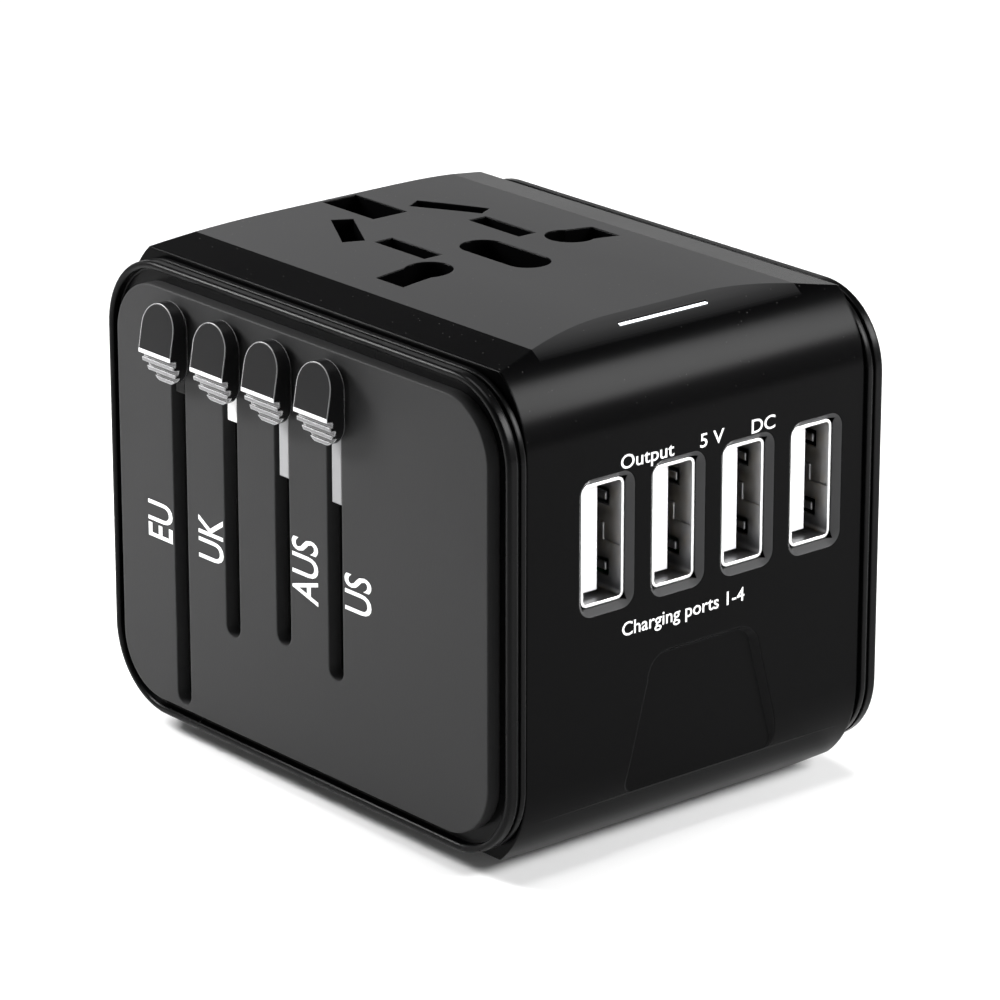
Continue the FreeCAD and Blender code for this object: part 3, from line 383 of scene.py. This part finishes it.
def board_laminate(name):
    """Circuit board: green lacquer over a woven base, with copper tracks showing through."""
    material, tree, shader = new_finish(name)
    links = tree.links
    place = tree.nodes.new("ShaderNodeTexCoord")
    tracks = tree.nodes.new("ShaderNodeTexBrick")
    tracks.inputs["Scale"].default_value = 160.0
    tracks.inputs["Mortar Size"].default_value = 0.06
    tracks.inputs["Color1"].default_value = (0.012, 0.10, 0.035, 1.0)
    tracks.inputs["Color2"].default_value = (0.016, 0.13, 0.045, 1.0)
    tracks.inputs["Mortar"].default_value = (0.05, 0.22, 0.08, 1.0)
    links.new(place.outputs["Object"], tracks.inputs["Vector"])
    links.new(tracks.outputs["Color"], shader.inputs["Base Color"])
    texture = add_group(tree, GRAIN, Grain=3000.0)
    gloss = spread(tree, texture.outputs["Height"], 0.25, 0.4)
    links.new(gloss, shader.inputs["Roughness"])
    bump = tree.nodes.new("ShaderNodeBump")
    bump.inputs["Distance"].default_value = 0.03 * MM
    links.new(tracks.outputs["Fac"], bump.inputs["Height"])
    links.new(bump.outputs["Normal"], shader.inputs["Normal"])
    return material


FINISH = {
    "casing": casing_plastic("satin_black_casing"),
    "cover": plastic("satin_black_cover", (0.0010, 0.0010, 0.0011), (0.0015, 0.0015, 0.0016), 0.27,
                     depth=0.006, specular=0.07),
    "plate": plastic("matte_grey_plate", (0.020, 0.020, 0.0203), (0.023, 0.023, 0.0233), 0.52,
                     grain=5000.0, depth=0.03, specular=0.12),
    "steel": metal("plated_steel", (0.62, 0.62, 0.63), (0.50, 0.50, 0.51), 0.28),
    "light": glowing_light("indicator_light"),
    # The port shell's nickel is darkened as painted shade for the inside of the ports; its rim is a painted
    # highlight.
    "usb_metal": metal("port_shell_nickel_painted_shade_and_highlight", (0.42, 0.42, 0.43), (0.32, 0.32, 0.33), 0.34,
                       stretch=(0.1, 1.0, 1.0), painted_rim_x=PORT_MOUTH_X - 0.06 * MM),
    "usb_plastic": plastic("port_tongue_white", (0.86, 0.86, 0.86), (0.93, 0.93, 0.92), 0.42, dust=0.0),
    "gold_contact": metal("gold_contact", (0.95, 0.72, 0.32), (0.80, 0.58, 0.24), 0.22),
    "circuit_board": board_laminate("green_board"),
    "transformer": plastic("transformer_tape", (0.50, 0.33, 0.03), (0.62, 0.42, 0.05), 0.40),
    "capacitor": plastic("capacitor_sleeve", (0.012, 0.014, 0.03), (0.02, 0.024, 0.05), 0.30),
    "brass": metal("stamped_brass", (0.72, 0.50, 0.20), (0.50, 0.34, 0.13), 0.34),
    "inner_plastic": plastic("inner_black", (0.001, 0.001, 0.001), (0.002, 0.002, 0.002), 0.55,
                             specular=0.05),
    "fuse_ceramic": plastic("fuse_ceramic", (0.72, 0.70, 0.62), (0.80, 0.78, 0.70), 0.22),
    "plug_plastic": plastic("plug_black", (0.001, 0.001, 0.001), (0.002, 0.002, 0.002), 0.45, specular=0.08),
    "slider_plastic": plastic("slider_mid_grey", (0.20, 0.20, 0.205), (0.26, 0.26, 0.265), 0.45),
    "pin_metal": metal("nickel_brass_pins", (0.80, 0.74, 0.60), (0.66, 0.60, 0.46), 0.24),
    "sleeve": plastic("pin_sleeve", (0.010, 0.010, 0.010), (0.015, 0.015, 0.015), 0.40),
    "button": button_plastic("button_black"),
}
WHITE_SLIDER = plastic("slider_white", (0.74, 0.74, 0.74), (0.82, 0.82, 0.81), 0.45)
SLOT_OF = {entry["node"]: entry["material_slot"] for entry in frame["record"]["subparts"]}
for node, obj in frame["nodes"].items():
    finish = WHITE_SLIDER if node == "uk_carriage" else FINISH[SLOT_OF[node]]
    for holder in obj.material_slots:
        holder.material = finish


# --- printed marks ----------------------------------------------------------------------------------

def white_ink():
    """Pad-printed white: slightly uneven, with a soft gloss."""
    material, tree, shader = new_finish("white_ink")
    links = tree.links
    texture = add_group(tree, GRAIN, Grain=7000.0, Drift=500.0)
    shade = mix_colour(tree, texture.outputs["Gloss Drift"], (0.78, 0.78, 0.78), (0.92, 0.92, 0.92))
    links.new(shade, shader.inputs["Base Color"])
    gloss = spread(tree, texture.outputs["Height"], 0.4, 0.6)
    links.new(gloss, shader.inputs["Roughness"])
    return material


INK = white_ink()
INK_THICK = 0.02 * MM


def printed(name, words, height, stretch, across, upward, outward, centre, body):
    """One printed mark: capitals of the given height, set on a face by its three directions."""
    bpy.ops.object.select_all(action="DESELECT")
    bpy.ops.object.text_add()
    mark = bpy.context.object
    mark.name = name
    mark.data.body = words
    mark.data.align_x = "CENTER"
    mark.data.align_y = "CENTER"
    mark.data.size = height / 0.70
    mark.data.extrude = INK_THICK / 2
    mark.data.offset = height * 0.012
    mark.data.resolution_u = 4
    bpy.ops.object.convert(target="MESH")
    turn = Matrix((across, upward, outward)).transposed().to_4x4()
    narrow = Matrix.Diagonal((stretch, 1.0, 1.0, 1.0))
    mark.data.transform(Matrix.Translation(centre) @ turn @ narrow)
    mark.data.materials.clear()
    mark.data.materials.append(INK)
    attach(mark, body)
    return mark


UP = Vector((0, 0, 1))
TO_LEFT = Vector((-1, 0, 0))
FRONT = Vector((0, -1, 0))
TO_REAR = Vector((0, 1, 0))
RIGHT = Vector((1, 0, 0))

REGION_MARKS = [
    ("mark_eu", "EU", -23.1, 24.5),
    ("mark_uk", "UK", -14.3, 24.8),
    ("mark_aus", "AUS", 1.6, 25.9),
    ("mark_us", "US", 10.2, 25.5),
]
for name, words, x, z in REGION_MARKS:
    printed(name, words, 4.2 * MM, 0.62, UP, TO_LEFT, FRONT, (x * MM, PLATE_Y, z * MM), "root")

UPPER_MARKS = [
    ("mark_output", "Output", -7.0),
    ("mark_volts", "5 V", 1.6),
    ("mark_current", "DC", 8.6),
]
PORT_WORDS_HIGH = 1.45 * MM
UPPER_WORDS_Z = 42.0 * MM
LOWER_WORDS = (FACE_X, -1.9 * MM, 24.4 * MM)
for name, words, y in UPPER_MARKS:
    printed(name, words, PORT_WORDS_HIGH, 1.15, TO_REAR, UP, RIGHT, (FACE_X, y * MM, UPPER_WORDS_Z), "root")
printed("mark_ports", "Charging ports 1-4", PORT_WORDS_HIGH, 1.05, TO_REAR, UP, RIGHT, LOWER_WORDS, "root")


# --- floor, light and camera --------------------------------------------------------------------------

def make_floor():
    bpy.ops.object.select_all(action="DESELECT")
    bpy.ops.mesh.primitive_plane_add(size=6.0, location=(0, 0, SHELL[0].z - 0.02 * MM))
    floor = bpy.context.object
    floor.name = "floor"
    material, tree, shader = new_finish("pale_floor")
    shader.inputs["Base Color"].default_value = (0.92, 0.92, 0.92, 1.0)
    shader.inputs["Roughness"].default_value = 0.8
    floor.data.materials.append(material)


def make_world():
    """The studio: a white band round the horizon and black above it, so upright faces stay dark."""
    world = bpy.data.worlds.new("studio")
    bpy.context.scene.world = world
    world.use_nodes = True
    tree = world.node_tree
    sky = tree.nodes["Background"]
    place = tree.nodes.new("ShaderNodeTexCoord")
    split = tree.nodes.new("ShaderNodeSeparateXYZ")
    ramp = tree.nodes.new("ShaderNodeValToRGB")
    ramp.color_ramp.elements[0].position = 0.18
    ramp.color_ramp.elements[0].color = (1.0, 1.0, 1.0, 1.0)
    ramp.color_ramp.elements[1].position = 0.47
    ramp.color_ramp.elements[1].color = (0.03, 0.03, 0.03, 1.0)
    tree.links.new(place.outputs["Generated"], split.inputs["Vector"])
    tree.links.new(split.outputs["Z"], ramp.inputs["Fac"])
    tree.links.new(ramp.outputs["Color"], sky.inputs["Color"])
    sky.inputs["Strength"].default_value = 1.0


def softbox(name, place, target, width, height, watts):
    bpy.ops.object.light_add(type="AREA", location=place)
    lamp = bpy.context.object
    lamp.name = name
    lamp.data.shape = "RECTANGLE"
    lamp.data.size = width
    lamp.data.size_y = height
    lamp.data.energy = watts
    lamp.visible_camera = False
    aim = Vector(target) - Vector(place)
    lamp.rotation_euler = aim.to_track_quat("-Z", "Y").to_euler()


def make_lights():
    middle = (0.0, 0.0, MIDDLE_Z)
    softbox("overhead_softbox", (-0.10, 0.06, 0.75), (-0.10, 0.05, 0.0), 0.5, 0.5, 6.0)
    softbox("near_left_softbox", (-0.10, -0.095, 0.11), (-0.02, -0.025, 0.035), 0.05, 0.05, 0.36)
    softbox("rear_softbox", (0.322, 0.295, 0.292), middle, 0.18, 0.22, 3.5)


def make_camera():
    back = Vector((
        math.sin(VIEW_AZIMUTH) * math.cos(VIEW_ELEVATION),
        -math.cos(VIEW_AZIMUTH) * math.cos(VIEW_ELEVATION),
        math.sin(VIEW_ELEVATION)))
    right = Vector((math.cos(VIEW_AZIMUTH), math.sin(VIEW_AZIMUTH), 0.0))
    up = back.cross(right)
    bpy.ops.object.camera_add()
    camera = bpy.context.object
    camera.name = "camera"
    camera.data.sensor_width = 36.0
    camera.data.lens = LENS_MM
    camera.data.clip_start = 0.01
    turn = Matrix((right, up, back)).transposed().to_4x4()
    spot = Vector((0, 0, MIDDLE_Z)) + VIEW_DISTANCE * back + VIEW_RIGHT * right + VIEW_UP * up
    camera.matrix_world = Matrix.Translation(spot) @ turn
    bpy.context.scene.camera = camera


make_floor()
make_world()
make_lights()
make_camera()
bpy.context.scene.view_settings.view_transform = "Standard"
